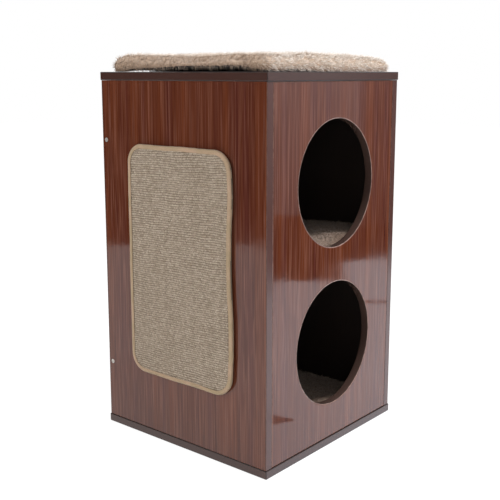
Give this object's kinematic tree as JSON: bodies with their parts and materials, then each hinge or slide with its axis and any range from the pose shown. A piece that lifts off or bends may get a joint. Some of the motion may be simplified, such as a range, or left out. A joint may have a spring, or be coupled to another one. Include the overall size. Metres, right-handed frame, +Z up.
{
  "type": "cat house",
  "caption": "Two-storey cat house: a square wood-grain box with a round mouth into each den, a sisal scratching pad on one wall and a plush roof cushion.",
  "frame": {"origin": "centre of the base, where the bottom panel meets the floor", "axes": "+Z up; the round mouths face -Y and the scratching pad faces -X"},
  "size_m": [0.4072, 0.4, 0.7296],
  "materials": {
    "walnut_laminate": "glossy dark walnut laminate with a fine upright grain, on particle board",
    "dark_board": "near-black brown board facing",
    "dark_edge_band": "dark brown plastic edge banding, satin",
    "plush": "beige-brown plush with a short thick pile",
    "sisal": "coarse woven sisal, ribbed crosswise",
    "binding_tape": "beige-brown cloth tape, stitched",
    "hook_and_loop": "black woven hook-and-loop tape",
    "cast_zinc": "dull cast zinc",
    "zinc_steel": "bright zinc-plated steel"
  },
  "bodies": {
    "house": {"left_side_panel": "walnut_laminate", "right_side_panel": "walnut_laminate", "front_panel": "walnut_laminate", "back_panel": "walnut_laminate", "top_panel": "dark_board", "bottom_panel": "dark_board", "middle_shelf": "dark_board", "top_panel_edge_band": "dark_edge_band", "bottom_panel_edge_band": "dark_edge_band", "left_side_front_edge_band": "dark_edge_band", "left_side_rear_edge_band": "dark_edge_band", "right_side_front_edge_band": "dark_edge_band", "right_side_rear_edge_band": "dark_edge_band", "lower_mouth_edge_band": "dark_edge_band", "upper_mouth_edge_band": "dark_edge_band", "bottom_left_front_cam_bolt": "zinc_steel", "bottom_left_rear_cam_bolt": "zinc_steel", "bottom_right_front_cam_bolt": "zinc_steel", "bottom_right_rear_cam_bolt": "zinc_steel", "top_left_front_cam_bolt": "zinc_steel", "top_left_rear_cam_bolt": "zinc_steel", "top_right_front_cam_bolt": "zinc_steel", "top_right_rear_cam_bolt": "zinc_steel", "front_panel_lower_left_cam_bolt": "zinc_steel", "front_panel_lower_right_cam_bolt": "zinc_steel", "front_panel_upper_left_cam_bolt": "zinc_steel", "front_panel_upper_right_cam_bolt": "zinc_steel", "bottom_left_front_cam_lock": "cast_zinc", "bottom_left_rear_cam_lock": "cast_zinc", "bottom_right_front_cam_lock": "cast_zinc", "bottom_right_rear_cam_lock": "cast_zinc", "top_left_front_cam_lock": "cast_zinc", "top_left_rear_cam_lock": "cast_zinc", "top_right_front_cam_lock": "cast_zinc", "top_right_rear_cam_lock": "cast_zinc", "front_panel_lower_left_cam_lock": "cast_zinc", "front_panel_lower_right_cam_lock": "cast_zinc", "front_panel_upper_left_cam_lock": "cast_zinc", "front_panel_upper_right_cam_lock": "cast_zinc", "back_panel_lower_left_screw": "zinc_steel", "back_panel_lower_right_screw": "zinc_steel", "back_panel_upper_left_screw": "zinc_steel", "back_panel_upper_right_screw": "zinc_steel", "shelf_front_left_peg": "zinc_steel", "shelf_front_right_peg": "zinc_steel", "shelf_rear_left_peg": "zinc_steel", "shelf_rear_right_peg": "zinc_steel", "upper_den_cushion": "plush", "lower_den_cushion": "plush", "left_cushion_hook_strip": "hook_and_loop", "right_cushion_hook_strip": "hook_and_loop", "lower_pad_hook_strip": "hook_and_loop", "upper_pad_hook_strip": "hook_and_loop"},
    "roof_cushion": {"top_cushion": "plush", "left_cushion_loop_strip": "hook_and_loop", "right_cushion_loop_strip": "hook_and_loop"},
    "scratching_pad": {"scratch_mat": "sisal", "scratch_mat_binding": "binding_tape", "lower_pad_loop_strip": "hook_and_loop", "upper_pad_loop_strip": "hook_and_loop"}
  },
  "joints": [
    {"name": "roof_cushion_lift", "type": "slide", "parent": "house", "child": "roof_cushion", "axis": [0, 0, 1], "range_m": [0, 0.15]},
    {"name": "scratching_pad_pull", "type": "slide", "parent": "house", "child": "scratching_pad", "axis": [-1, 0, 0], "range_m": [0, 0.08]}
  ]
}
